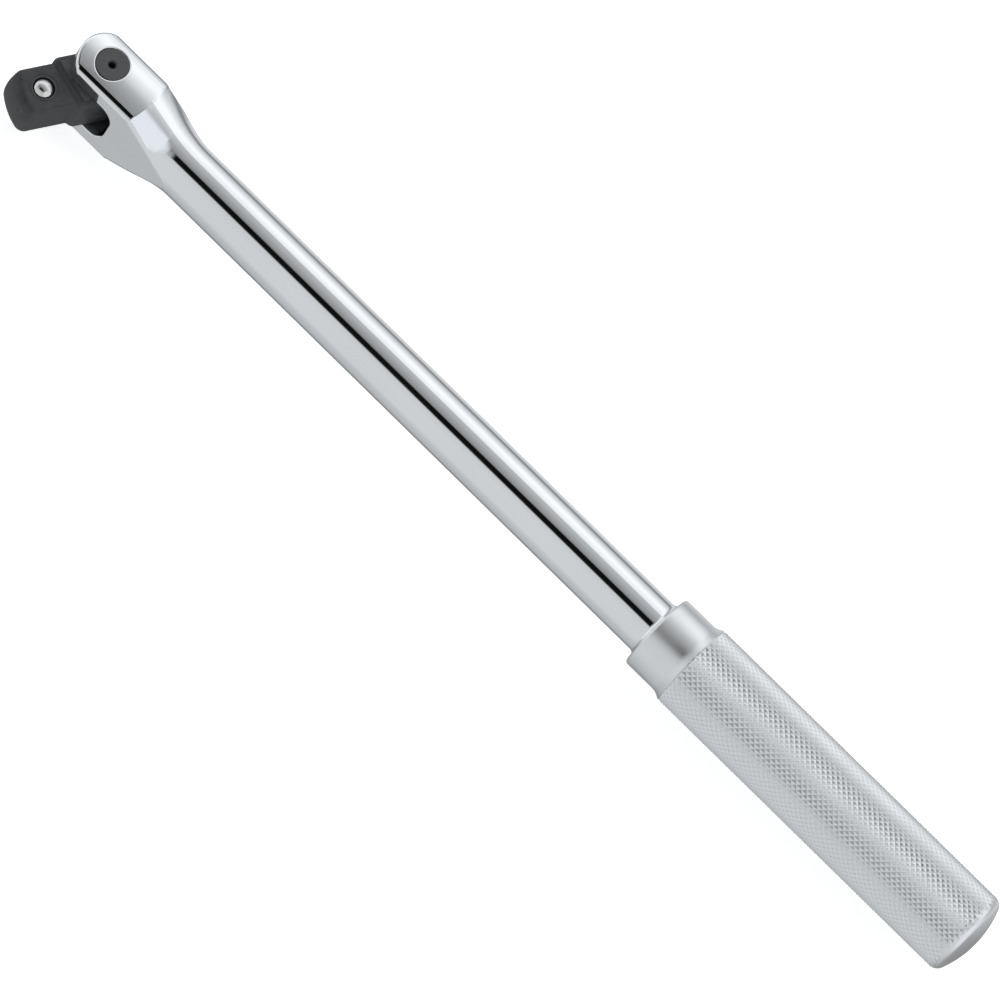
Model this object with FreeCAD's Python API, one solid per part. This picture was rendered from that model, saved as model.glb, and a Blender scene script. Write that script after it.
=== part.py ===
import FreeCAD, Part
import math
import os

# Breaker bar with a hinged square drive head and a knurled grip, in millimetres.
# X runs along the bar towards the grip end, Z is the hinge pin's axis, and the origin is on the
# bar's axis at the middle of the grip's full-diameter length. The drive head is stored swung to
# the -Y side, HEAD_SWING_DEG away from pointing straight out of the fork.

# Drive square (1/2 inch)
SQUARE = 12.7
SQUARE_EDGE_R = 1.0
SQUARE_TIP_R = 2.8
SQUARE_TIP_DOME_R = 20.0
SQUARE_TIP_REACH = 25.1          # pin axis to the top of the tip's dome
SHOULDER_FILLET_R = 1.2

# Tongue of the drive head, which turns between the fork's two ears
TONGUE_OVER_SQUARE = 2.6         # how much wider the tongue is than the square
TONGUE_WIDTH = SQUARE + TONGUE_OVER_SQUARE
TONGUE_EDGE_R = 2.0
TONGUE_SIDE_CLEARANCE = 0.1      # each side, tongue face to ear
SHOULDER_REACH = 11.2            # pin axis to the middle of the slanted shoulder
SHOULDER_SLANT_DEG = 13.0
HEAD_SWING_DEG = 61.0

# Detent ball in the +Z face of the square
BALL_R = 3.175
BALL_PROUD = 1.3
BALL_REACH = 17.15               # pin axis to the ball
BALL_BORE_CLEARANCE = 0.05
BALL_BORE_FLOOR = 1.7            # metal left under the bore
BALL_LIP_OVERHANG = 0.22         # staked lip, smaller than the ball by this radius
BALL_LIP_HEIGHT = 0.35
STAKE_RING_INNER_R = 3.45        # shallow ring pressed round the ball to stake the lip
STAKE_RING_OUTER_R = 3.9
STAKE_RING_DEPTH = 0.12
BALL_SPRING_WIRE_R = 0.32
BALL_SPRING_COIL_R = 1.9
BALL_SPRING_TURNS = 4.5

# Hinge pin
PIN_R = 4.55
PIN_RUNNING_CLEARANCE = 0.05
PIN_END_BELOW_CROWN = 0.45       # pin end face below the top of the ear's crown
PIN_END_CHAMFER = 0.25
PIN_CENTRE_HOLE_R = 1.0
PIN_CENTRE_HOLE_DEPTH = 3.0
PIN_CENTRE_SINK_R = 1.5
PIN_CENTRE_SINK_DEPTH = 0.45
PIN_HOLE_ROUND_R = 0.4           # rounding of the ear's hole mouth

# Fork
FORK_HALF_HEIGHT = 14.05         # bar axis to the top of an ear's crown
FORK_CROWN_R = 18.1
FORK_CORNER_R = 6.0              # between the crown and a flat
FORK_CORNER_START_DEG = 20.0     # how far round the crown each corner starts
FORK_THICKNESS = 16.1            # across the two flats, along Y
EAR_TIP_PAST_FLAT = 1.35         # how much further the ear's round tip is from the pin than a flat
EAR_TIP_R = FORK_THICKNESS / 2 + EAR_TIP_PAST_FLAT
EAR_SIDE_R = 2.5                 # where the ear's round tip runs into a flat
EAR_EDGE_R = 1.0
SLOT_OVER_SQUARE = 2.0           # how much wider the slot is than the square
SLOT_WIDTH = SQUARE + SLOT_OVER_SQUARE
SLOT_ROOT_GAP = 2.15             # tongue's round end to the slot's root
SLOT_ROOT_REACH = TONGUE_WIDTH / 2 + SLOT_ROOT_GAP
SLOT_CORNER_R = 4.5
SLOT_EDGE_R = 0.4

# Bar and the neck between fork and bar
BAR_R = 8.0
NECK_START_REACH = 14.2          # pin axis to the end of the ear's crown
NECK_CREASE_R = 1.5              # between the crown and the neck's slope
NECK_SLOPE_DEG = 23.8
NECK_COVE_R = 22.0
BAR_REACH = 200.7                # pin axis to the grip's seat
FLANGE_R = 9.6
FLANGE_FILLET_R = 1.5

# Friction plunger in the root of the slot, which holds the head where it is put
PLUNGER_R = 2.0
PLUNGER_BORE_CLEARANCE = 0.05
PLUNGER_LENGTH = 6.5
PLUNGER_NOSE_R = 2.6
PLUNGER_GAP = 0.1                # nose to the tongue's round end
PLUNGER_BORE_DEPTH = 13.0        # from the slot's root
FRICTION_SPRING_WIRE_R = 0.3
FRICTION_SPRING_COIL_R = 1.5
FRICTION_SPRING_TURNS = 5.5

# Grip sleeve and end plug
GRIP_R = 12.25
COLLAR_R = 11.2
COLLAR_LENGTH = 9.7
COLLAR_FRONT_R = 0.9
COLLAR_COVE_R = 4.0
COLLAR_COVE_DEG = 27.0
GRIP_LENGTH = 114.9              # from the seat to the top of the rear dome
GRIP_END_CORNER_R = 3.0
GRIP_END_DOME_R = 28.0
PLUG_R = 8.6
PLUG_LENGTH = 9.0
PLUG_LEAD_CHAMFER = 0.8
GRIP_REACH = BAR_REACH + GRIP_LENGTH  # pin axis to the top of the rear dome

# The part of the bar inside the grip
TAIL_END_GAP = 7.9               # from its end to the end plug
TAIL_LENGTH = GRIP_LENGTH - PLUG_LENGTH - TAIL_END_GAP

# How far cutting blocks reach past the faces that they clear
BEYOND = 5.0
# How near an edge lies to a face to count as on it
ON_FACE = 0.02

X_AXIS = FreeCAD.Vector(1, 0, 0)
Y_AXIS = FreeCAD.Vector(0, 1, 0)
Z_AXIS = FreeCAD.Vector(0, 0, 1)


def plug_start_reach():
    return GRIP_REACH - PLUG_LENGTH


def grip_end_corner_reach():
    """Pin axis to the centre of the rounding at the grip's rear corner, which blends into the dome."""
    centre_gap = GRIP_END_DOME_R - GRIP_END_CORNER_R
    corner_height = GRIP_R - GRIP_END_CORNER_R
    along = math.sqrt(centre_gap ** 2 - corner_height ** 2)
    return GRIP_REACH - GRIP_END_DOME_R + along


def collar_cove_length():
    """Length along X of the cove and slope that rise from the collar to the grip."""
    angle = math.radians(COLLAR_COVE_DEG)
    cove_rise = COLLAR_COVE_R * (1 - math.cos(angle))
    slope_rise = GRIP_R - COLLAR_R - cove_rise
    return COLLAR_COVE_R * math.sin(angle) + slope_rise / math.tan(angle)


GRIP_FULL_START = BAR_REACH + COLLAR_LENGTH + collar_cove_length()
GRIP_FULL_END = grip_end_corner_reach()
HINGE_X = -(GRIP_FULL_START + GRIP_FULL_END) / 2


def at(reach, radius=0.0):
    """A point in the X-Z half plane, its reach measured from the pin axis towards the grip."""
    return FreeCAD.Vector(HINGE_X + reach, 0, radius)


def line(start, end):
    return Part.LineSegment(start, end).toShape()


def arc(centre, radius, start_deg, end_deg):
    """Arc in the X-Z half plane about a centre, angles measured from +X towards +Z."""
    points = []
    for share in (0.0, 0.5, 1.0):
        angle = math.radians(start_deg + (end_deg - start_deg) * share)
        points.append(centre + FreeCAD.Vector(radius * math.cos(angle), 0, radius * math.sin(angle)))
    return Part.Arc(*points).toShape()


def outline(steps):
    """Edges from a list of points and arcs, joined by straight lines and closed."""
    edges = []
    first = None
    last = None
    for step in steps:
        is_arc = isinstance(step, Part.Shape)
        start = step.Vertexes[0].Point if is_arc else step
        end = step.Vertexes[-1].Point if is_arc else step
        if last is not None and last.distanceToPoint(start) > 1e-6:
            edges.append(line(last, start))
        if is_arc:
            edges.append(step)
        first = start if first is None else first
        last = end
    if last.distanceToPoint(first) > 1e-6:
        edges.append(line(last, first))
    return Part.Wire(edges)


def turned(steps):
    """Solid of revolution about the bar's axis."""
    face = Part.Face(outline(steps))
    return face.revolve(FreeCAD.Vector(0, 0, 0), X_AXIS, 360)


def upright_cylinder(radius, height, reach=0.0):
    """Cylinder about Z, centred on Z = 0."""
    base = FreeCAD.Vector(HINGE_X + reach, 0, -height / 2)
    return Part.makeCylinder(radius, height, base, Z_AXIS)


def bar_cylinder(radius, start_reach, length):
    return Part.makeCylinder(radius, length, at(start_reach), X_AXIS)


def round_edges(solid, radius, chosen):
    edges = [edge for edge in solid.Edges if chosen(edge)]
    return solid.makeFillet(radius, edges)


# ---------------------------------------------------------------- bar and fork


def neck_outline():
    """The neck's straight slope, drawn from outside the ears' crowns, and its cove into the bar."""
    slope = math.radians(NECK_SLOPE_DEG)
    start_radius = FORK_HALF_HEIGHT + BEYOND
    start = NECK_START_REACH - BEYOND / math.tan(slope)
    cove_start_radius = BAR_R + NECK_COVE_R * (1 - math.cos(slope))
    cove_start = start + (start_radius - cove_start_radius) / math.tan(slope)
    cove_end = cove_start + NECK_COVE_R * math.sin(slope)
    cove = arc(at(cove_end, BAR_R + NECK_COVE_R), NECK_COVE_R, 270 - NECK_SLOPE_DEG, 270)
    return at(start, start_radius), cove, cove_end


def shank_blank():
    """The turned bar before the fork's flats, slot and holes are cut."""
    slope_start, cove, cove_end = neck_outline()
    fillet_centre = at(BAR_REACH - FLANGE_FILLET_R, BAR_R + FLANGE_FILLET_R)
    front = -EAR_TIP_R - BEYOND
    return turned([
        at(front),
        at(front, slope_start.z),
        slope_start,
        cove,
        arc(fillet_centre, FLANGE_FILLET_R, 270, 360),
        at(BAR_REACH, FLANGE_R),
        at(BAR_REACH, BAR_R),
        at(BAR_REACH + TAIL_LENGTH, BAR_R),
        at(BAR_REACH + TAIL_LENGTH),
    ]), cove_end


def section_arc(centre_z, centre_y, radius, start, end):
    """Arc across the bar at X = 0, its angles in radians from +Z towards +Y."""
    points = []
    for share in (0.0, 0.5, 1.0):
        angle = start + (end - start) * share
        y = centre_y + radius * math.sin(angle)
        z = centre_z + radius * math.cos(angle)
        points.append(FreeCAD.Vector(0, y, z))
    return Part.Arc(*points).toShape()


def fork_section():
    """Section of the fork across the bar: two flats, and over each a crown with round corners."""
    start = math.radians(FORK_CORNER_START_DEG)
    crown_z = FORK_HALF_HEIGHT - FORK_CROWN_R
    inward = FORK_CROWN_R - FORK_CORNER_R
    corner_y = inward * math.sin(start)
    corner_z = crown_z + inward * math.cos(start)
    flat_y = FORK_THICKNESS / 2
    end = math.asin((flat_y - corner_y) / FORK_CORNER_R)
    flat_z = corner_z + FORK_CORNER_R * math.cos(end)
    upper = [
        section_arc(crown_z, 0, FORK_CROWN_R, -start, start),
        section_arc(corner_z, corner_y, FORK_CORNER_R, start, end),
        section_arc(corner_z, -corner_y, FORK_CORNER_R, -end, -start),
    ]
    lower = [edge.mirror(FreeCAD.Vector(0, 0, 0), Z_AXIS) for edge in upper]
    flats = []
    for y in (flat_y, -flat_y):
        flats.append(line(FreeCAD.Vector(0, y, flat_z), FreeCAD.Vector(0, y, -flat_z)))
    return Part.Wire(Part.sortEdges(upper + lower + flats)[0])


def fork_envelope(cove_end):
    """The fork's section run from in front of the ears to where the whole bar fits inside it."""
    envelope = Part.Face(fork_section()).extrude(X_AXIS * (cove_end + EAR_TIP_R + 2 * BEYOND))
    envelope.translate(at(-EAR_TIP_R - 2 * BEYOND))
    return envelope


def front_waste():
    """What is cut off in front of the ears' round tips."""
    reach = FORK_HALF_HEIGHT + 2 * BEYOND
    corner = at(-EAR_TIP_R - 2 * BEYOND) - Y_AXIS * reach - Z_AXIS * reach
    front = Part.makeBox(EAR_TIP_R + 2 * BEYOND, 2 * reach, 2 * reach, corner)
    return front.cut(upright_cylinder(EAR_TIP_R, 3 * reach))


def fork_slot():
    """Slot for the tongue, open to the front and to both flats, with rounded root corners."""
    start = -EAR_TIP_R - 2 * BEYOND
    corner = at(start) - Y_AXIS * FORK_THICKNESS - Z_AXIS * (SLOT_WIDTH / 2)
    slot = Part.makeBox(SLOT_ROOT_REACH - start, 2 * FORK_THICKNESS, SLOT_WIDTH, corner)
    root = HINGE_X + SLOT_ROOT_REACH

    def is_root_edge(edge):
        ends = [vertex.Point for vertex in edge.Vertexes]
        along_y = abs(ends[0].y - ends[-1].y) > FORK_THICKNESS
        return along_y and all(abs(end.x - root) < 1e-6 for end in ends)

    return round_edges(slot, SLOT_CORNER_R, is_root_edge)


def middle_of(edge):
    return edge.valueAt((edge.FirstParameter + edge.LastParameter) / 2)


def is_ear_side(edge):
    """Upright edge between an ear's round tip and a flat."""
    middle = middle_of(edge)
    at_flat = abs(abs(middle.y) - FORK_THICKNESS / 2) < ON_FACE
    return at_flat and middle.x < HINGE_X and abs(middle.z) < ON_FACE


def is_round_the_tip(point):
    """Whether a point is on the ears' round tip or on the rounding between it and a flat."""
    from_pin = math.hypot(point.x - HINGE_X, point.y)
    return point.x < HINGE_X and from_pin > EAR_TIP_R - EAR_SIDE_R / 4


def is_crown_edge(edge):
    """An edge between an ear's crown or corner and its side, from the neck round the tip."""
    middle = middle_of(edge)
    if abs(middle.z) < SLOT_WIDTH / 2 or middle.x > HINGE_X + NECK_START_REACH:
        return False
    at_flat = abs(abs(middle.y) - FORK_THICKNESS / 2) < ON_FACE
    along_the_bar = edge.BoundBox.XLength > FORK_THICKNESS / 2
    return (at_flat and along_the_bar) or is_round_the_tip(middle)


def is_crease(edge):
    """An edge between an ear's crown or corners and the neck's slope."""
    middle = middle_of(edge)
    from_axis = math.hypot(middle.y, middle.z)
    behind_the_pin = middle.x > HINGE_X + PIN_R
    across = edge.BoundBox.YLength > edge.BoundBox.XLength
    return across and behind_the_pin and from_axis > FORK_HALF_HEIGHT - ON_FACE


def is_slot_mouth(edge):
    """An edge where the slot opens through a flat or an ear's tip."""
    middle = middle_of(edge)
    in_slot = abs(middle.z) < SLOT_WIDTH / 2 + ON_FACE and middle.x < HINGE_X + SLOT_ROOT_REACH + ON_FACE
    at_flat = abs(middle.y) > FORK_THICKNESS / 2 - ON_FACE
    return in_slot and (at_flat or is_round_the_tip(middle))


def is_hole_mouth(edge):
    middle = middle_of(edge)
    from_pin = math.hypot(middle.x - HINGE_X, middle.y)
    is_bend = not isinstance(edge.Curve, Part.Line)
    return is_bend and abs(from_pin - PIN_R) < ON_FACE and abs(middle.z) > FORK_THICKNESS / 2


def shank():
    blank, cove_end = shank_blank()
    ahead = fork_envelope(cove_end)
    behind = bar_cylinder(2 * BAR_R, cove_end, BAR_REACH + TAIL_LENGTH)
    body = blank.common(ahead.fuse(behind))
    body = body.cut(front_waste())
    body = round_edges(body, EAR_SIDE_R, is_ear_side)
    body = round_edges(body, EAR_EDGE_R, is_crown_edge)
    body = round_edges(body, NECK_CREASE_R, is_crease)
    body = body.cut(fork_slot())
    body = round_edges(body, SLOT_EDGE_R, is_slot_mouth)
    body = body.cut(upright_cylinder(PIN_R, 4 * FORK_HALF_HEIGHT))
    body = round_edges(body, PIN_HOLE_ROUND_R, is_hole_mouth)
    bore_start = SLOT_ROOT_REACH - BEYOND
    bore_length = PLUNGER_BORE_DEPTH + BEYOND
    return body.cut(bar_cylinder(PLUNGER_R + PLUNGER_BORE_CLEARANCE, bore_start, bore_length))


def hinge_pin():
    """Headless pin, flush in both ears, with a centre-drilled end."""
    length = 2 * (FORK_HALF_HEIGHT - PIN_END_BELOW_CROWN)
    body = upright_cylinder(PIN_R, length)
    body = round_edges(body, PIN_END_CHAMFER, lambda edge: isinstance(edge.Curve, Part.Circle))
    for end in (1, -1):
        mouth = FreeCAD.Vector(HINGE_X, 0, end * length / 2)
        inward = Z_AXIS * -end
        hole = Part.makeCylinder(PIN_CENTRE_HOLE_R, PIN_CENTRE_HOLE_DEPTH, mouth, inward)
        depth = PIN_CENTRE_SINK_DEPTH
        sink = Part.makeCone(PIN_CENTRE_SINK_R, PIN_CENTRE_HOLE_R, depth, mouth, inward)
        body = body.cut(hole).cut(sink)
    return body


# ---------------------------------------------------------------- drive head

# The head is drawn pointing straight out of the fork, along -X from the pin axis, then swung.


def swung(shape):
    """The shape turned about the pin from straight to the stored swing."""
    turned_shape = shape.copy()
    turned_shape.rotate(at(0), Z_AXIS, HEAD_SWING_DEG)
    return turned_shape


def tongue():
    """Flat-sided tongue with a round end about the pin and a slanted front shoulder."""
    half = TONGUE_WIDTH / 2
    rise = half * math.tan(math.radians(SHOULDER_SLANT_DEG))
    near = at(-(SHOULDER_REACH - rise)) - Y_AXIS * half
    far = at(-(SHOULDER_REACH + rise)) + Y_AXIS * half
    end_far = at(0) + Y_AXIS * half
    end_near = at(0) - Y_AXIS * half
    round_end = Part.Arc(end_near, at(half), end_far).toShape()
    plan = Part.Wire([round_end, line(end_far, far), line(far, near), line(near, end_near)])
    height = SLOT_WIDTH - 2 * TONGUE_SIDE_CLEARANCE
    block = Part.Face(plan).extrude(Z_AXIS * height)
    block.translate(Z_AXIS * (-height / 2))
    return block.makeFillet(TONGUE_EDGE_R, block.Edges)


def square():
    """Drive square with a domed tip, running back into the tongue."""
    half = SQUARE / 2
    corner = at(-SQUARE_TIP_REACH) - Y_AXIS * half - Z_AXIS * half
    block = Part.makeBox(SQUARE_TIP_REACH - TONGUE_WIDTH / 4, SQUARE, SQUARE, corner)
    dome = Part.makeSphere(SQUARE_TIP_DOME_R, at(SQUARE_TIP_DOME_R - SQUARE_TIP_REACH))
    block = block.common(dome)

    def is_tip_edge(edge):
        middle = middle_of(edge)
        return not isinstance(edge.Curve, Part.Line) and middle.x < HINGE_X - BALL_REACH

    def is_long_edge(edge):
        middle = middle_of(edge)
        return abs(abs(middle.y) - abs(middle.z)) < ON_FACE and abs(middle.y) > half / 2

    block = round_edges(block, SQUARE_TIP_R, is_tip_edge)
    return round_edges(block, SQUARE_EDGE_R, is_long_edge)


def is_shoulder_corner(edge):
    """An edge where the square leaves the tongue's slanted shoulder."""
    slant = math.tan(math.radians(SHOULDER_SLANT_DEG))
    middle = middle_of(edge)
    shoulder_x = HINGE_X - SHOULDER_REACH - middle.y * slant
    inside = max(abs(middle.y), abs(middle.z)) < SQUARE / 2 + ON_FACE
    return inside and abs(middle.x - shoulder_x) < TONGUE_EDGE_R


def ball_height():
    """Height of the ball's centre above the head's middle plane."""
    return SQUARE / 2 + BALL_PROUD - BALL_R


def ball_bore():
    """Blind bore from the +Z face of the square, with a staked lip that keeps the ball in."""
    face = SQUARE / 2
    floor = -face + BALL_BORE_FLOOR
    bore_r = BALL_R + BALL_BORE_CLEARANCE
    lip_r = BALL_R - BALL_LIP_OVERHANG
    lip_start = face - BALL_LIP_HEIGHT
    centre = at(-BALL_REACH)
    bore = Part.makeCylinder(bore_r, lip_start - floor, centre + Z_AXIS * floor, Z_AXIS)
    lip = Part.makeCone(bore_r, lip_r, BALL_LIP_HEIGHT, centre + Z_AXIS * lip_start, Z_AXIS)
    mouth = Part.makeCylinder(lip_r, BEYOND, centre + Z_AXIS * face, Z_AXIS)
    return bore.fuse([lip, mouth])


def stake_ring():
    """Shallow ring groove round the ball's hole."""
    start = at(-BALL_REACH) + Z_AXIS * (SQUARE / 2 - STAKE_RING_DEPTH)
    outer = Part.makeCylinder(STAKE_RING_OUTER_R, BEYOND, start, Z_AXIS)
    return outer.cut(Part.makeCylinder(STAKE_RING_INNER_R, BEYOND, start, Z_AXIS))


def drive_head():
    body = tongue().fuse(square())
    body = round_edges(body, SHOULDER_FILLET_R, is_shoulder_corner)
    body = body.cut(upright_cylinder(PIN_R + PIN_RUNNING_CLEARANCE, 2 * SLOT_WIDTH))
    return swung(body.cut(ball_bore()).cut(stake_ring()))


def drive_ball():
    return swung(Part.makeSphere(BALL_R, at(-BALL_REACH) + Z_AXIS * ball_height()))


def coil_spring(coil_r, wire_r, length, turns):
    """Open-ended coil about Z, standing on Z = 0."""
    wire_length = length - 2 * wire_r
    path = Part.makeHelix(wire_length / turns, wire_length, coil_r)
    start = FreeCAD.Vector(coil_r, 0, 0)
    section = Part.Wire(Part.makeCircle(wire_r, start, Y_AXIS))
    spring = Part.Wire(path).makePipeShell([section], True, True)
    spring.translate(Z_AXIS * wire_r)
    return spring


def drive_ball_spring():
    """Spring under the ball, seated on the bore's floor."""
    floor = -SQUARE / 2 + BALL_BORE_FLOOR
    contact_r = BALL_SPRING_COIL_R
    ball_underside = ball_height() - math.sqrt(BALL_R ** 2 - contact_r ** 2)
    length = ball_underside - floor
    spring = coil_spring(BALL_SPRING_COIL_R, BALL_SPRING_WIRE_R, length, BALL_SPRING_TURNS)
    spring.translate(at(-BALL_REACH) + Z_AXIS * floor)
    return swung(spring)


# ---------------------------------------------------------------- friction plunger


def plunger_tip_reach():
    return TONGUE_WIDTH / 2 + PLUNGER_GAP


def friction_plunger():
    """Round-nosed plunger that bears on the tongue's round end."""
    tip = plunger_tip_reach()
    nose_rise = PLUNGER_NOSE_R - math.sqrt(PLUNGER_NOSE_R ** 2 - PLUNGER_R ** 2)
    half_angle = math.degrees(math.asin(PLUNGER_R / PLUNGER_NOSE_R))
    return turned([
        arc(at(tip + PLUNGER_NOSE_R), PLUNGER_NOSE_R, 180, 180 - half_angle),
        at(tip + nose_rise, PLUNGER_R),
        at(tip + PLUNGER_LENGTH, PLUNGER_R),
        at(tip + PLUNGER_LENGTH),
    ])


def friction_spring():
    """Spring between the plunger's back and the bore's floor."""
    start = plunger_tip_reach() + PLUNGER_LENGTH
    length = SLOT_ROOT_REACH + PLUNGER_BORE_DEPTH - start
    spring = coil_spring(FRICTION_SPRING_COIL_R, FRICTION_SPRING_WIRE_R, length, FRICTION_SPRING_TURNS)
    spring.rotate(FreeCAD.Vector(0, 0, 0), Y_AXIS, 90)
    spring.translate(at(start))
    return spring


# ---------------------------------------------------------------- grip


def grip_end_arcs():
    """Rear corner rounding and the dome across the grip's end, tangent to each other."""
    corner_centre = at(grip_end_corner_reach(), GRIP_R - GRIP_END_CORNER_R)
    dome_centre = at(GRIP_REACH - GRIP_END_DOME_R)
    toward = corner_centre - dome_centre
    blend_deg = math.degrees(math.atan2(toward.z, toward.x))
    plug_deg = math.degrees(math.asin(PLUG_R / GRIP_END_DOME_R))
    corner = arc(corner_centre, GRIP_END_CORNER_R, 90, blend_deg)
    dome_outside_plug = arc(dome_centre, GRIP_END_DOME_R, blend_deg, plug_deg)
    dome_on_plug = arc(dome_centre, GRIP_END_DOME_R, plug_deg, 0)
    return corner, dome_outside_plug, dome_on_plug


def grip_sleeve():
    """Grip tube pressed over the bar's tail, with a smooth collar in front of the full diameter."""
    corner, dome_outside_plug, _ = grip_end_arcs()
    cove_start = BAR_REACH + COLLAR_LENGTH
    return turned([
        at(BAR_REACH, BAR_R),
        arc(at(BAR_REACH + COLLAR_FRONT_R, COLLAR_R - COLLAR_FRONT_R), COLLAR_FRONT_R, 180, 90),
        arc(at(cove_start, COLLAR_R + COLLAR_COVE_R), COLLAR_COVE_R, 270, 270 + COLLAR_COVE_DEG),
        at(GRIP_FULL_START, GRIP_R),
        corner,
        dome_outside_plug,
        at(plug_start_reach(), PLUG_R),
        at(plug_start_reach(), BAR_R),
    ])


def grip_end_plug():
    """Domed plug that closes the grip's rear end."""
    _, _, dome_on_plug = grip_end_arcs()
    start = plug_start_reach()
    return turned([
        at(start),
        at(start, PLUG_R - PLUG_LEAD_CHAMFER),
        at(start + PLUG_LEAD_CHAMFER, PLUG_R),
        dome_on_plug,
    ])


NODES = {
    "shank": shank,
    "hinge_pin": hinge_pin,
    "drive_head": drive_head,
    "drive_ball": drive_ball,
    "drive_ball_spring": drive_ball_spring,
    "friction_plunger": friction_plunger,
    "friction_spring": friction_spring,
    "grip_sleeve": grip_sleeve,
    "grip_end_plug": grip_end_plug,
}


def write_parts():
    os.makedirs("parts", exist_ok=True)
    for name, make in NODES.items():
        shape = make()
        solid = shape.Solids[0] if len(shape.Solids) == 1 else shape
        solid.exportStep("parts/" + name + ".step")
        print(name, shape.ShapeType, len(shape.Solids), shape.isValid(), round(shape.Volume, 1))


write_parts()
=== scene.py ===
import math
import bpy
import numpy as np
from mathutils import Matrix, Vector


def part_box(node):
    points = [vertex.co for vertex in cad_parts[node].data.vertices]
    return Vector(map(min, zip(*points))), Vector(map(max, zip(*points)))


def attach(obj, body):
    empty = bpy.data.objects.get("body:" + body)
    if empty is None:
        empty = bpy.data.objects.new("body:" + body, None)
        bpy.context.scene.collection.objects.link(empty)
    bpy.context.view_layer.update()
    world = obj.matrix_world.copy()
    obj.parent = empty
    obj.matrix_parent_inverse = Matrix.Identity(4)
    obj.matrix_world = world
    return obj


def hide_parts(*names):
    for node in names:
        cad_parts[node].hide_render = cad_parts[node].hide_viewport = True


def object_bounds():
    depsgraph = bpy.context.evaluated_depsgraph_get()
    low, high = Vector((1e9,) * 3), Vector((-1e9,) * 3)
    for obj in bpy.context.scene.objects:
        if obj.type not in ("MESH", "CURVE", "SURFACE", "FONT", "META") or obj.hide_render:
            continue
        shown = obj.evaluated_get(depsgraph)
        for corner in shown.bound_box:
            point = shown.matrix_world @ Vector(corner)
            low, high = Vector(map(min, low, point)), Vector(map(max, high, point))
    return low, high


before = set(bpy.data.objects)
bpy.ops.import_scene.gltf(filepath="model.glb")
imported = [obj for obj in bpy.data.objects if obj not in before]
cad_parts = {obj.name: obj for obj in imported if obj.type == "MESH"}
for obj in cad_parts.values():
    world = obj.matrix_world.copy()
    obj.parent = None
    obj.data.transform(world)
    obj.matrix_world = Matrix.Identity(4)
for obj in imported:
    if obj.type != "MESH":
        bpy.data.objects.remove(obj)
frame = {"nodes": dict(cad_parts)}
cad_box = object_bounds()

# The looks of a hinged breaker bar: polished chrome bar and fork, black head and pin, a bright
# detent ball, and a satin grip with a cut diamond knurl. X runs along the bar towards the grip
# end and Z is the hinge pin's axis. All lengths are in metres.

MM = 0.001

# Knurl, cut into the grip's full diameter: diamonds as long as they are wide
KNURL_AROUND = 41
KNURL_DEPTH = 0.32 * MM
KNURL_FRONT_WALL = 0.2 * MM       # length of the step down from the full diameter at the front
# Each diamond as nested rings: share of the way from its middle to its corners, share of the depth
KNURL_RINGS = [(0.86, 0.12), (0.30, 0.88), (0.15, 1.0)]
# Point of each half diamond at the front: rows in from the edge, share of the depth
HALF_DIAMOND_POINT = (0.3, 0.9)
KNURL_SHARP_DEG = 30

# View of the camera: its elevation over the pin's axis, its lead towards the grip, and the
# slope of the bar down across the picture
VIEW_TILT_DEG = 27.3
VIEW_LEAD = 0.0785
BAR_SLOPE_DEG = 44.42
VIEW_WIDTH = 256.4 * MM           # seen at the object's distance
VIEW_CENTRE_REACH = 148.65 * MM   # from the hinge along the bar
VIEW_CENTRE_DROP = 4.05 * MM      # from the bar's axis, down across the bar in the view
LENS_MM = 800.0
SENSOR_MM = 36.0


def box_of(node):
    low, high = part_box(node)
    return Vector(low), Vector(high)


PIN_LOW, PIN_HIGH = box_of("hinge_pin")
HINGE = (PIN_LOW + PIN_HIGH) / 2


# ---------------------------------------------------------------- node helpers


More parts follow.
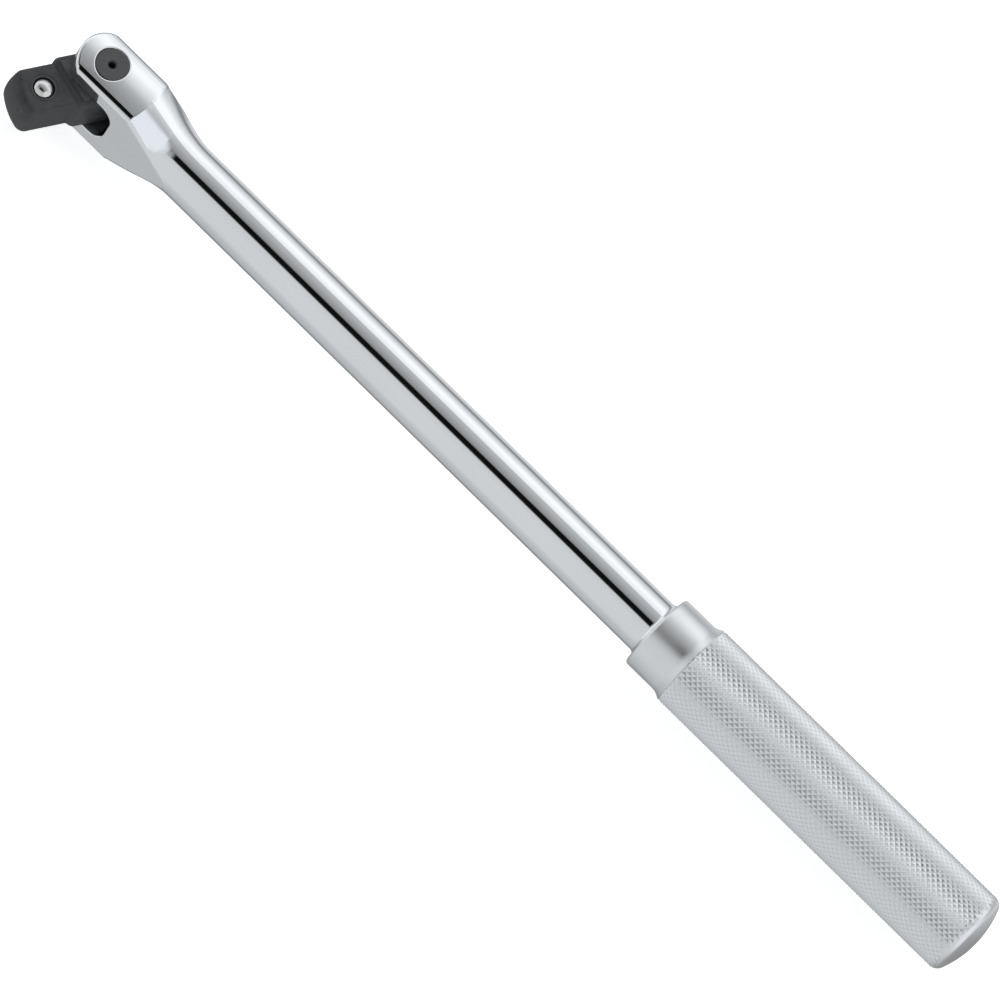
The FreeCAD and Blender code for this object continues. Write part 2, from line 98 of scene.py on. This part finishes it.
class Material:
    """A small builder for a procedural material around one Principled shader."""

    def __init__(self, name, base, metallic, roughness):
        self.material = bpy.data.materials.new(name)
        self.material.use_nodes = True
        self.nodes = self.material.node_tree.nodes
        self.links = self.material.node_tree.links
        self.shader = self.nodes["Principled BSDF"]
        self.set("Base Color", (*base, 1.0))
        self.set("Metallic", metallic)
        self.set("Roughness", roughness)

    def set(self, socket, value):
        self.shader.inputs[socket].default_value = value

    def node(self, kind, **settings):
        node = self.nodes.new(kind)
        for name, value in settings.items():
            setattr(node, name, value)
        return node

    def link(self, start, end):
        self.links.new(start, end)

    def object_position(self, stretch=(1, 1, 1), origin=(0, 0, 0)):
        """Object-space position, moved to origin and scaled on each axis."""
        coordinates = self.node("ShaderNodeTexCoord")
        moved = self.node("ShaderNodeVectorMath", operation="SUBTRACT")
        moved.inputs[1].default_value = origin
        scaled = self.node("ShaderNodeVectorMath", operation="MULTIPLY")
        scaled.inputs[1].default_value = stretch
        self.link(coordinates.outputs["Object"], moved.inputs[0])
        self.link(moved.outputs[0], scaled.inputs[0])
        return scaled.outputs[0]

    def noise(self, position, scale, detail=3.0, rough=0.55):
        texture = self.node("ShaderNodeTexNoise")
        texture.inputs["Scale"].default_value = scale
        texture.inputs["Detail"].default_value = detail
        texture.inputs["Roughness"].default_value = rough
        self.link(position, texture.inputs["Vector"])
        return texture.outputs["Fac"]

    def ramp(self, value, stops):
        """Colour ramp through (position, grey or colour) stops."""
        ramp = self.node("ShaderNodeValToRGB")
        elements = ramp.color_ramp.elements
        while len(elements) < len(stops):
            elements.new(0.5)
        for element, (position, colour) in zip(elements, stops):
            element.position = position
            shade = (colour, colour, colour) if isinstance(colour, float) else colour
            element.color = (*shade, 1.0)
        self.link(value, ramp.inputs["Fac"])
        return ramp.outputs["Color"]

    def spread(self, value, low, high, from_low=0.35, from_high=0.65):
        """Map a texture's usual range onto low to high."""
        mapped = self.node("ShaderNodeMapRange")
        mapped.inputs["From Min"].default_value = from_low
        mapped.inputs["From Max"].default_value = from_high
        mapped.inputs["To Min"].default_value = low
        mapped.inputs["To Max"].default_value = high
        self.link(value, mapped.inputs["Value"])
        return mapped.outputs["Result"]

    def bump(self, height, distance, strength=1.0, under=None):
        bump = self.node("ShaderNodeBump")
        bump.inputs["Strength"].default_value = strength
        bump.inputs["Distance"].default_value = distance
        self.link(height, bump.inputs["Height"])
        if under is not None:
            self.link(under, bump.inputs["Normal"])
        return bump.outputs["Normal"]

    def math(self, operation, first, second):
        node = self.node("ShaderNodeMath", operation=operation)
        for socket, value in zip(node.inputs, (first, second)):
            if isinstance(value, float):
                socket.default_value = value
            else:
                self.link(value, socket)
        return node.outputs[0]

    def to(self, socket, value):
        self.link(value, self.shader.inputs[socket])


def dress(obj, material):
    obj.data.materials.clear()
    obj.data.materials.append(material.material)
    for polygon in obj.data.polygons:
        polygon.material_index = 0


# ---------------------------------------------------------------- materials


def polished_chrome():
    """Mirror chrome over a hand-polished forging: faint waves, hairline polish marks, haze."""
    chrome = Material("polished_chrome", (0.86, 0.875, 0.89), 1.0, 0.05)
    position = chrome.object_position()
    haze = chrome.noise(position, 60.0, 4.0)
    chrome.to("Roughness", chrome.spread(haze, 0.035, 0.075))
    tint = chrome.noise(position, 25.0, 2.0)
    tones = [(0.3, (0.84, 0.855, 0.875)), (0.7, (0.88, 0.89, 0.90))]
    chrome.to("Base Color", chrome.ramp(tint, tones))
    along = chrome.object_position(stretch=(6.0, 260.0, 260.0))
    hairlines = chrome.noise(along, 12.0, 2.0)
    waves = chrome.noise(position, 130.0, 1.0)
    soft = chrome.bump(waves, 0.004 * MM)
    chrome.to("Normal", chrome.bump(hairlines, 0.00025 * MM, under=soft))
    return chrome


def satin_chrome():
    """Bead-blasted chrome: an even fine grain that breaks up reflections."""
    satin = Material("satin_chrome", (0.80, 0.81, 0.82), 1.0, 0.32)
    position = satin.object_position()
    grain = satin.noise(position, 5200.0, 2.0, 0.6)
    patches = satin.noise(position, 90.0, 3.0)
    satin.to("Roughness", satin.spread(patches, 0.31, 0.39))
    tones = [(0.3, (0.80, 0.815, 0.825)), (0.7, (0.89, 0.90, 0.905))]
    satin.to("Base Color", satin.ramp(grain, tones))
    satin.to("Normal", satin.bump(grain, 0.012 * MM))
    return satin


def black_steel():
    """Matte black phosphate on a forging: fine crystals, soft mottling, paler worn edges."""
    black = Material("black_steel", (0.04, 0.042, 0.043), 0.35, 0.5)
    position = black.object_position()
    crystals = black.noise(position, 6000.0, 3.0, 0.65)
    mottle = black.noise(position, 320.0, 4.0)
    tone = black.ramp(mottle, [(0.32, (0.032, 0.035, 0.036)), (0.68, (0.052, 0.055, 0.056))])
    edges = black.node("ShaderNodeNewGeometry").outputs["Pointiness"]
    worn = black.ramp(edges, [(0.54, 0.0), (0.62, 1.0)])
    broken = black.math("MULTIPLY", worn, black.spread(mottle, 0.15, 0.75))
    mix = black.node("ShaderNodeMix", data_type="RGBA")
    mix.inputs["B"].default_value = (0.13, 0.132, 0.13, 1.0)
    black.link(broken, mix.inputs["Factor"])
    black.link(tone, mix.inputs["A"])
    black.to("Base Color", mix.outputs["Result"])
    black.to("Roughness", black.spread(mottle, 0.42, 0.56))
    soft = black.bump(mottle, 0.02 * MM)
    black.to("Normal", black.bump(crystals, 0.008 * MM, under=soft))
    return black


def turned_black_steel():
    """Black pin with fine concentric turning marks about its own axis."""
    black = Material("turned_black_steel", (0.04, 0.042, 0.043), 0.5, 0.4)
    position = black.object_position(stretch=(1, 1, 0), origin=HINGE)
    from_axis = black.node("ShaderNodeVectorMath", operation="LENGTH")
    black.link(position, from_axis.inputs[0])
    turns = black.math("MULTIPLY", from_axis.outputs["Value"], 2.0 * math.pi / (0.33 * MM))
    marks = black.math("SINE", turns, 0.0)
    grain = black.noise(black.object_position(), 3000.0, 3.0)
    rough_marks = black.math("ADD", black.spread(marks, 0.0, 1.0, -1.0, 1.0), grain)
    share = black.math("DIVIDE", from_axis.outputs["Value"], 5.0 * MM)
    hole_rim = black.ramp(share, [(0.24, 0.0), (0.31, 0.6), (0.42, 0.0)])
    tone = black.math("ADD", rough_marks, hole_rim)
    tones = [(0.35, (0.034, 0.036, 0.037)), (1.0, (0.085, 0.088, 0.088))]
    black.to("Base Color", black.ramp(tone, tones))
    black.to("Roughness", black.spread(grain, 0.34, 0.46))
    black.to("Normal", black.bump(rough_marks, 0.006 * MM))
    return black


def bright_steel():
    """Ground and polished ball and plunger, with faint scratches."""
    steel = Material("bright_steel", (0.72, 0.72, 0.71), 1.0, 0.12)
    position = steel.object_position()
    scratches = steel.noise(steel.object_position(stretch=(1, 14, 3)), 900.0, 2.0)
    patches = steel.noise(position, 500.0, 3.0)
    steel.to("Roughness", steel.spread(patches, 0.09, 0.18))
    tones = [(0.35, (0.66, 0.66, 0.65)), (0.7, (0.76, 0.76, 0.755))]
    steel.to("Base Color", steel.ramp(patches, tones))
    steel.to("Normal", steel.bump(scratches, 0.0015 * MM))
    return steel


def spring_steel():
    """Drawn wire with a darker, slightly oily surface."""
    wire = Material("spring_steel", (0.40, 0.40, 0.41), 1.0, 0.3)
    position = wire.object_position()
    drawn = wire.noise(position, 2500.0, 3.0)
    wire.to("Base Color", wire.ramp(drawn, [(0.3, (0.30, 0.30, 0.31)), (0.7, (0.46, 0.46, 0.47))]))
    wire.to("Roughness", wire.spread(drawn, 0.24, 0.38))
    wire.to("Normal", wire.bump(drawn, 0.003 * MM))
    return wire


# ---------------------------------------------------------------- camera, light and floor


def make_camera():
    tilt = math.radians(VIEW_TILT_DEG)
    slope = math.radians(BAR_SLOPE_DEG)
    out = Vector((VIEW_LEAD, -math.sin(tilt), math.cos(tilt))).normalized()
    along_bar = (Vector((1, 0, 0)) - out * out.x).normalized()
    down_across = along_bar.cross(out)
    up = -math.sin(slope) * along_bar - math.cos(slope) * down_across
    right = up.cross(out)
    target = HINGE + Vector((VIEW_CENTRE_REACH, 0, 0)) + down_across * VIEW_CENTRE_DROP
    data = bpy.data.cameras.new("camera")
    data.lens = LENS_MM
    data.sensor_width = SENSOR_MM
    distance = VIEW_WIDTH * LENS_MM / SENSOR_MM
    data.clip_end = 4 * distance
    camera = bpy.data.objects.new("camera", data)
    place = Matrix((right, up, out)).transposed().to_4x4()
    place.translation = target + out * distance
    camera.matrix_world = place
    bpy.context.scene.collection.objects.link(camera)
    bpy.context.scene.camera = camera


# Brightness round the bar's axis, by angle from the pin's axis towards the viewer's side
SKY_STOPS = [
    (-180, 0.29), (-153, 0.29), (-128, 0.76), (-114, 0.73), (-104, 0.53), (-96, 0.24),
    (-89, 0.37), (-82, 0.64), (-70, 0.86), (-55, 1.14), (-46, 1.12), (-39, 0.99),
    (-32, 0.86), (-24, 0.71), (-16, 0.53), (-8, 0.43), (7, 0.32), (11, 0.25),
    (34, 0.50), (37, 0.68), (56, 0.72), (111, 0.72), (133, 0.59), (160, 0.51), (177, 0.29),
]
# The dark gap between two soft boxes: stops as above, and how far towards the bar's two ends
# it reaches, as the least and the most slant along X between which it fades
GAP_STOPS = [(11, 1.0), (14, 0.015), (31, 0.015), (34, 1.0)]
GAP_SLANT = (0.38, 0.50)
GAP_SLANT_OFFSET = 0.08
# A small lamp towards the grip end, seen in the neck
LAMP_TOWARD = (0.866, -0.187, 0.464)
LAMP_EDGE = (0.845, 0.925)
LAMP_COLOUR = (0.88, 0.91, 0.96)
# Pale walls at both ends of the studio, as the least and the most slant along X of their edge
WALL_SLANT = (0.80, 0.93)
WALL_COLOUR = (0.90, 0.92, 0.95)
SKY_GAIN = 1.25                   # the brightest level, so that the stops stay within a ramp
SKY_TINT = (0.965, 0.985, 1.0)


def sky_ramp(nodes, links, share, stops, tint):
    """Colour ramp round the bar from stops given in degrees and levels."""
    ramp = nodes.new("ShaderNodeValToRGB")
    elements = ramp.color_ramp.elements
    while len(elements) < len(stops):
        elements.new(0.5)
    for element, (degrees, level) in zip(elements, stops):
        element.position = (degrees + 180) / 360
        element.color = (*(level * channel for channel in tint), 1.0)
    links.new(share, ramp.inputs["Fac"])
    return ramp.outputs["Color"]


def eased(nodes, links, value, edges, results):
    """A value eased from one result to the other between two edges."""
    node = nodes.new("ShaderNodeMapRange")
    node.interpolation_type = "SMOOTHSTEP"
    node.inputs["From Min"].default_value = edges[0]
    node.inputs["From Max"].default_value = edges[1]
    node.inputs["To Min"].default_value = results[0]
    node.inputs["To Max"].default_value = results[1]
    links.new(value, node.inputs["Value"])
    return node.outputs["Result"]


def calculated(nodes, links, operation, first, second=None):
    node = nodes.new("ShaderNodeMath")
    node.operation = operation
    links.new(first, node.inputs[0])
    if isinstance(second, (int, float)):
        node.inputs[1].default_value = second
    elif second is not None:
        links.new(second, node.inputs[1])
    return node.outputs[0]


# The colour sockets of a Mix node: its two inputs and its output
MIX_INPUTS = (6, 7)
MIX_OUTPUT = 2


def mixed(nodes, links, blend, factor, first, second):
    """Two colours mixed, each a socket or three numbers."""
    node = nodes.new("ShaderNodeMix")
    node.data_type = "RGBA"
    node.blend_type = blend
    links.new(factor, node.inputs["Factor"])
    for value, number in zip((first, second), MIX_INPUTS):
        if isinstance(value, tuple):
            node.inputs[number].default_value = (*value, 1.0)
        else:
            links.new(value, node.inputs[number])
    return node.outputs[MIX_OUTPUT]


def make_world():
    """A plain studio as the polished surfaces see it: soft boxes and dark gaps along the bar."""
    world = bpy.data.worlds.new("studio")
    bpy.context.scene.world = world
    world.use_nodes = True
    nodes = world.node_tree.nodes
    links = world.node_tree.links
    background = nodes["Background"]
    direction = nodes.new("ShaderNodeTexCoord").outputs["Generated"]
    split = nodes.new("ShaderNodeSeparateXYZ")
    links.new(direction, split.inputs[0])
    across = calculated(nodes, links, "MULTIPLY", split.outputs["Y"], -1.0)
    angle = calculated(nodes, links, "ARCTAN2", across, split.outputs["Z"])
    turns = calculated(nodes, links, "DIVIDE", angle, 2 * math.pi)
    share = calculated(nodes, links, "ADD", turns, 0.5)
    tint = tuple(channel / SKY_GAIN for channel in SKY_TINT)
    sky = sky_ramp(nodes, links, share, SKY_STOPS, tint)
    gap = sky_ramp(nodes, links, share, GAP_STOPS, (1.0, 1.0, 1.0))
    shifted = calculated(nodes, links, "ADD", split.outputs["X"], GAP_SLANT_OFFSET)
    slant = calculated(nodes, links, "ABSOLUTE", shifted)
    gap_strength = eased(nodes, links, slant, GAP_SLANT, (1.0, 0.0))
    sky = mixed(nodes, links, "MULTIPLY", gap_strength, sky, gap)
    facing = nodes.new("ShaderNodeVectorMath")
    facing.operation = "DOT_PRODUCT"
    facing.inputs[1].default_value = LAMP_TOWARD
    links.new(direction, facing.inputs[0])
    lamp_strength = eased(nodes, links, facing.outputs["Value"], LAMP_EDGE, (0.0, 1.0))
    lamp = tuple(channel / SKY_GAIN for channel in LAMP_COLOUR)
    sky = mixed(nodes, links, "MIX", lamp_strength, sky, lamp)
    end_slant = calculated(nodes, links, "ABSOLUTE", split.outputs["X"])
    wall_strength = eased(nodes, links, end_slant, WALL_SLANT, (0.0, 1.0))
    wall = tuple(channel / SKY_GAIN for channel in WALL_COLOUR)
    sky = mixed(nodes, links, "MIX", wall_strength, sky, wall)
    seen = nodes.new("ShaderNodeLightPath").outputs["Is Camera Ray"]
    sky = mixed(nodes, links, "MIX", seen, sky, (0.8, 0.8, 0.8))
    links.new(sky, background.inputs["Color"])
    background.inputs["Strength"].default_value = SKY_GAIN


FLOOR_REACH = 3.0
FLOOR_GAP = 0.2 * MM              # between the floor and the lowest piece


def make_floor():
    height = cad_box[0][2] - FLOOR_GAP
    sides = [(-1, -1), (1, -1), (1, 1), (-1, 1)]
    corners = [(x * FLOOR_REACH, y * FLOOR_REACH, height) for x, y in sides]
    mesh = bpy.data.meshes.new("floor")
    mesh.from_pydata(corners, [], [(0, 1, 2, 3)])
    floor = bpy.data.objects.new("floor", mesh)
    bpy.context.scene.collection.objects.link(floor)
    paper = Material("pale_floor", (0.93, 0.93, 0.93), 0.0, 0.9)
    paper.set("Specular IOR Level", 0.0)
    paper.set("Emission Color", (1.0, 1.0, 1.0, 1.0))
    paper.set("Emission Strength", 0.6)
    dress(floor, paper)
    floor.visible_glossy = False


LIGHT_SIZE = (1.2, 0.8)
LIGHT_POWER = 9.0
LIGHT_OFFSET = Vector((0.25, 0.55, 1.1))      # from the hinge


def make_soft_light():
    data = bpy.data.lights.new("soft_light", "AREA")
    data.shape = "RECTANGLE"
    data.size, data.size_y = LIGHT_SIZE
    data.energy = LIGHT_POWER
    light = bpy.data.objects.new("soft_light", data)
    light.location = HINGE + LIGHT_OFFSET
    light.rotation_euler = (HINGE - light.location).to_track_quat("-Z", "Y").to_euler()
    light.visible_glossy = False
    bpy.context.scene.collection.objects.link(light)


# ---------------------------------------------------------------- knurled grip


class RoundMesh:
    """A mesh whose points are placed along the bar's axis, from it, and by column round it."""

    def __init__(self, columns):
        self.columns = columns
        self.points = []
        self.faces = []

    def add(self, x, radius, column):
        angle = 2 * math.pi * column / self.columns
        self.points.append((x, radius * math.cos(angle), radius * math.sin(angle)))
        return len(self.points) - 1

    def ring(self, x, radius):
        return [self.add(x, radius, column) for column in range(self.columns)]

    def join(self, ring, following):
        """A band of quads from one ring to the next along the outline."""
        for column in range(self.columns):
            beside = (column + 1) % self.columns
            self.faces.append((ring[column], ring[beside], following[beside], following[column]))

    def join_all(self, rings):
        for ring, following in zip(rings, rings[1:]):
            self.join(ring, following)

    def finished(self, name, sharp_deg):
        mesh = bpy.data.meshes.new(name)
        mesh.from_pydata(self.points, [], self.faces)
        mesh.shade_smooth()
        mesh.set_sharp_from_angle(angle=math.radians(sharp_deg))
        piece = bpy.data.objects.new(name, mesh)
        bpy.context.scene.collection.objects.link(piece)
        return piece


def turned_outline(mesh):
    """The outer and bore sides of a turned sleeve, as (distance along, distance from the axis)."""
    points = set()
    for vertex in mesh.vertices:
        points.add((round(vertex.co.x, 7), round(math.hypot(vertex.co.y, vertex.co.z), 7)))
    rear = max(points)
    outer = sorted(point for point in points if point[1] > rear[1] + MM / 100)
    bore = sorted(points.difference(outer, [rear]), reverse=True)
    return outer + [rear], bore


def knurl_lattice(grip, outer):
    """Cut the diamonds: corners at the grooves' root, and nested rings up to each worn point.

    The lattice starts on a plain ring, where the diamonds are cut in half, and runs out over the
    sleeve's rounded rear corner.
    """
    crest = max(radius for x, radius in outer)
    full = [x for x, radius in outer if radius > crest - MM / 1000]
    first = min(full) + KNURL_FRONT_WALL
    root = crest - KNURL_DEPTH
    corner = [point for point in outer if point[0] >= max(full)][::-1]
    last = float(np.interp(root, [radius for x, radius in corner], [x for x, radius in corner]))
    along = [x for x, radius in outer]
    from_axis = [radius for x, radius in outer]
    rows = round((last - first) / (math.pi * crest / KNURL_AROUND))
    step = (last - first) / rows

    def place(row, column, height):
        x = first + row * step
        radius = min(float(np.interp(x, along, from_axis)), root + height * KNURL_DEPTH)
        return grip.add(x, radius, column)

    corners = {}
    for row in range(rows + 1):
        for column in range(grip.columns):
            if row == 0 or (row + column) % 2 == 0:
                corners[row, column] = place(row, column, 0.0)
    for row in range(1, rows):
        for column in range((row + 1) % 2, grip.columns, 2):
            ways = [(-1, 0), (0, 1), (1, 0), (0, -1)]
            outside = [corners[row + down, (column + side) % grip.columns] for down, side in ways]
            for share, height in KNURL_RINGS:
                inside = []
                for down, side in ways:
                    inside.append(place(row + share * down, column + share * side, height))
                for turn in range(4):
                    beside = (turn + 1) % 4
                    quad = (outside[turn], outside[beside], inside[beside], inside[turn])
                    grip.faces.append(quad)
                outside = inside
            grip.faces.append(tuple(outside))
    for column in range(1, grip.columns, 2):
        before, beyond = column - 1, (column + 1) % grip.columns
        ends = [corners[0, column], corners[0, beyond], corners[1, column], corners[0, before]]
        apex = place(HALF_DIAMOND_POINT[0], column, HALF_DIAMOND_POINT[1])
        for turn in range(4):
            grip.faces.append((ends[turn], ends[(turn + 1) % 4], apex))
    front = [corners[0, column] for column in range(grip.columns)]
    back = [corners[rows - (rows + column) % 2, column] for column in range(grip.columns)]
    return front, back, first, last


def knurled_grip():
    """The grip sleeve with its knurl cut in real depth, on the CAD sleeve's own outline."""
    grip = RoundMesh(2 * KNURL_AROUND)
    outer, bore = turned_outline(frame["nodes"]["grip_sleeve"].data)
    front, back, first, last = knurl_lattice(grip, outer)
    before = [grip.ring(x, radius) for x, radius in outer if x < first - MM / 10]
    after = [grip.ring(x, radius) for x, radius in outer if x > last + MM / 10]
    inside = [grip.ring(x, radius) for x, radius in bore]
    grip.join_all(before + [front])
    grip.join_all([back] + after + inside + [before[0]])
    piece = grip.finished("knurled_grip", KNURL_SHARP_DEG)
    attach(piece, "handle")
    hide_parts("grip_sleeve")
    return piece


# ---------------------------------------------------------------- finish

make_camera()
make_world()
make_floor()
make_soft_light()

CHROME = polished_chrome()
SATIN = satin_chrome()
BLACK = black_steel()
TURNED = turned_black_steel()
BRIGHT = bright_steel()
WIRE = spring_steel()

bpy.context.scene.view_settings.view_transform = "Standard"
nodes = frame["nodes"]
dress(nodes["shank"], CHROME)
dress(nodes["hinge_pin"], TURNED)
dress(nodes["drive_head"], BLACK)
dress(nodes["drive_ball"], BRIGHT)
dress(nodes["friction_plunger"], BRIGHT)
dress(nodes["drive_ball_spring"], WIRE)
dress(nodes["friction_spring"], WIRE)
dress(knurled_grip(), SATIN)
dress(nodes["grip_end_plug"], SATIN)
